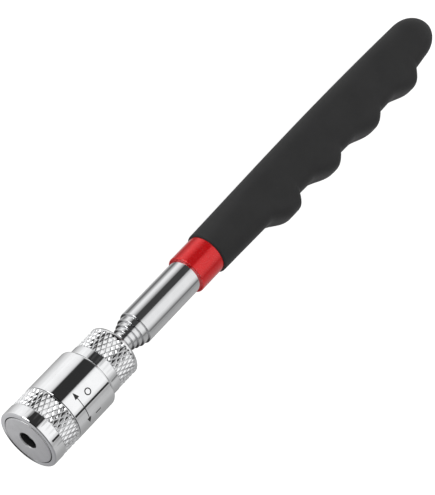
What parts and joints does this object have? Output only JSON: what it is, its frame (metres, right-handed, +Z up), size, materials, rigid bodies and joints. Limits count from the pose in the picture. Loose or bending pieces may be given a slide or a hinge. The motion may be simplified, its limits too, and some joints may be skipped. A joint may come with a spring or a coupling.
{
  "type": "magnetic pickup tool",
  "caption": "Telescopic pickup tool with a ring magnet around a lamp, a turning knurled head, nested chrome tubes and a soft lobed grip.",
  "frame": {"origin": "bottom centre of the bounding box, under the middle of the closed tool", "axes": "+X along the tool from the magnet face to the end of the grip, -Y to the finger lobes, +Z up as the tool lies on its side"},
  "size_m": [0.19, 0.02, 0.019],
  "materials": {
    "grip_foam": "matte black moulded soft grip with a very fine skin texture",
    "red_metal": "red metallic lacquer, glossy",
    "tube_chrome": "polished chrome with faint lengthwise wear",
    "head_chrome": "polished chrome, diamond knurled on the bands",
    "magnet_nickel": "satin nickel plate with turned marks",
    "led_epoxy": "clear moulded epoxy",
    "black_plastic": "matte black moulded plastic",
    "bronze": "bright spring bronze",
    "spring_steel": "bright drawn steel",
    "cell_steel": "nickel plated steel",
    "sleeve_paper": "off-white fibre tube",
    "seal_rubber": "black rubber"
  },
  "bodies": {
    "handle": {"grip": "grip_foam", "collar": "red_metal", "outer_tube": "tube_chrome", "end_plug": "black_plastic"},
    "section_2": {"tube_2": "tube_chrome", "friction_clip_2": "bronze"},
    "section_3": {"tube_3": "tube_chrome", "friction_clip_3": "bronze"},
    "section_4": {"tube_4": "tube_chrome", "friction_clip_4": "bronze"},
    "section_5": {"tube_5": "tube_chrome", "friction_clip_5": "bronze"},
    "section_6": {"tube_6": "tube_chrome", "friction_clip_6": "bronze", "rod_insert": "bronze", "rod_screw": "spring_steel"},
    "tail_group": {"tail_cap": "head_chrome", "tail_o_ring": "seal_rubber", "battery_spring": "spring_steel"},
    "battery_pack": {"battery_sleeve": "sleeve_paper", "button_cell_1": "cell_steel", "button_cell_2": "cell_steel", "button_cell_3": "cell_steel"},
    "barrel_group": {"barrel": "head_chrome", "front_o_ring": "seal_rubber"},
    "light_module": {"led": "led_epoxy", "led_holder": "black_plastic", "led_leads": "spring_steel", "led_contact": "bronze"},
    "cap_group": {"front_cap": "head_chrome", "magnet_ring": "magnet_nickel", "magnet_yoke": "spring_steel"}
  },
  "joints": [
    {"name": "slide_2", "type": "slide", "parent": "handle", "child": "section_2", "axis": [-1, 0, 0], "range_m": [0, 0.122]},
    {"name": "slide_3", "type": "slide", "parent": "section_2", "child": "section_3", "axis": [-1, 0, 0], "range_m": [0, 0.122]},
    {"name": "slide_4", "type": "slide", "parent": "section_3", "child": "section_4", "axis": [-1, 0, 0], "range_m": [0, 0.122]},
    {"name": "slide_5", "type": "slide", "parent": "section_4", "child": "section_5", "axis": [-1, 0, 0], "range_m": [0, 0.122]},
    {"name": "slide_6", "type": "slide", "parent": "section_5", "child": "section_6", "axis": [-1, 0, 0], "range_m": [0, 0.122]},
    {"name": "head_swivel", "type": "hinge", "parent": "section_6", "child": "tail_group", "pos_m": [-0.062, 0.0005, 0.0095], "axis": [1, 0, 0], "continuous": true},
    {"name": "barrel_travel", "type": "slide", "parent": "tail_group", "child": "battery_pack", "axis": [-1, 0, 0], "range_m": [0, 0.005]},
    {"name": "barrel_unscrew", "type": "hinge", "parent": "battery_pack", "child": "barrel_group", "pos_m": [-0.075, 0.0005, 0.0095], "axis": [1, 0, 0], "range_deg": [0, 1800.1]},
    {"name": "cap_travel", "type": "slide", "parent": "barrel_group", "child": "light_module", "axis": [1, 0, 0], "range_m": [-0.0001, 0.0001]},
    {"name": "cap_twist", "type": "hinge", "parent": "light_module", "child": "cap_group", "pos_m": [-0.087, 0.0005, 0.0095], "axis": [1, 0, 0], "range_deg": [-45.01, 45.01]}
  ],
  "couplings": [
    {"joint": "barrel_unscrew", "follows": "barrel_travel", "rad_per_m": 6283.2},
    {"joint": "cap_twist", "follows": "cap_travel", "rad_per_m": 7854}
  ]
}
